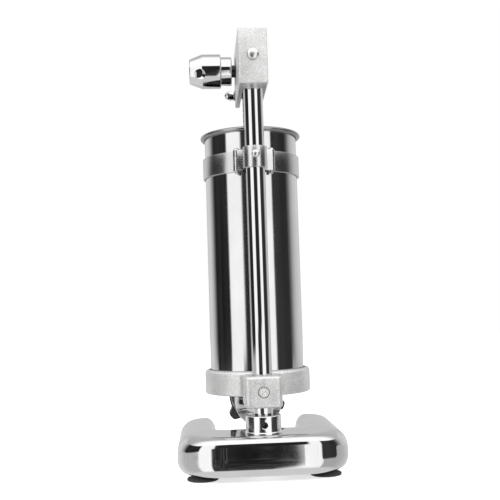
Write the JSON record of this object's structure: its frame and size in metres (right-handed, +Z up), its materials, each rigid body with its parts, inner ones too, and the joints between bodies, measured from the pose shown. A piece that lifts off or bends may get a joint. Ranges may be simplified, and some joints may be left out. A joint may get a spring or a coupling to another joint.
{
  "type": "churro maker",
  "caption": "Crank-driven dough press: upright steel barrel with rack and piston on a column stand, with a low front spout.",
  "frame": {"origin": "on the table, at the centre of the base's footprint", "axes": "+Z up; the spout points to -Y and the column stands towards +Y; the crank hub is on the +X side"},
  "size_m": [0.176, 0.176, 0.4702],
  "materials": {
    "chrome": "mirror-polished chrome plate",
    "polished_steel": "polished stainless steel",
    "brushed_steel": "finely brushed stainless steel",
    "screw_steel": "bright zinc-plated steel",
    "rack_steel": "machined stainless steel",
    "black_steel": "blackened steel",
    "cast_aluminium": "satin, fine shot-blasted casting",
    "bronze": "sintered bronze",
    "foot_rubber": "matte black rubber",
    "seal_rubber": "smooth black rubber",
    "black_plastic": "moulded black nylon",
    "white_plastic": "turned white food-grade nylon"
  },
  "bodies": {
    "stand": {"base": "chrome", "feet": "foot_rubber", "foot_screws": "screw_steel", "column": "polished_steel", "base_collar": "chrome", "collar_set_screw": "black_steel", "column_bolt": "screw_steel", "column_washer": "screw_steel", "cradle": "cast_aluminium", "cradle_screw": "screw_steel", "cradle_side_pin": "screw_steel", "barrel_tube": "polished_steel", "barrel_floor": "polished_steel", "spout": "polished_steel", "spout_ferrule": "polished_steel", "band": "brushed_steel", "band_saddle": "brushed_steel", "band_screw": "screw_steel", "band_pins": "screw_steel", "head": "cast_aluminium", "head_screw": "screw_steel", "shaft_bush": "bronze", "guide_bolt": "screw_steel", "guide_roller": "white_plastic", "guide_washer": "screw_steel", "acorn_nut": "chrome"},
    "plunger": {"rack": "rack_steel", "piston": "white_plastic", "piston_seals": "seal_rubber", "piston_washer": "screw_steel", "piston_screw": "screw_steel"},
    "crank": {"pinion": "black_steel", "crank_hub": "chrome", "hub_pin": "screw_steel"},
    "nozzle": {"nozzle_seal": "seal_rubber", "nozzle_disc": "brushed_steel"},
    "nut": {"spout_nut": "black_plastic"}
  },
  "joints": [
    {"name": "plunger_slide", "type": "slide", "parent": "stand", "child": "plunger", "axis": [0, 0, 1], "range_m": [0, 0.28]},
    {"name": "crank_turn", "type": "hinge", "parent": "stand", "child": "crank", "pos_m": [0, 0.008, 0.431], "axis": [-1, 0, 0], "range_deg": [0, 1337]},
    {"name": "nozzle_slide", "type": "slide", "parent": "stand", "child": "nozzle", "axis": [0, -1, 0], "range_m": [0, 0.012]},
    {"name": "nut_turn", "type": "hinge", "parent": "nozzle", "child": "nut", "pos_m": [0, -0.08, 0.067], "axis": [0, -1, 0], "range_deg": [0, 1441]}
  ],
  "couplings": [
    {"joint": "crank_turn", "follows": "plunger_slide", "rad_per_m": 83.333},
    {"joint": "nut_turn", "follows": "nozzle_slide", "rad_per_m": 2094.4}
  ]
}
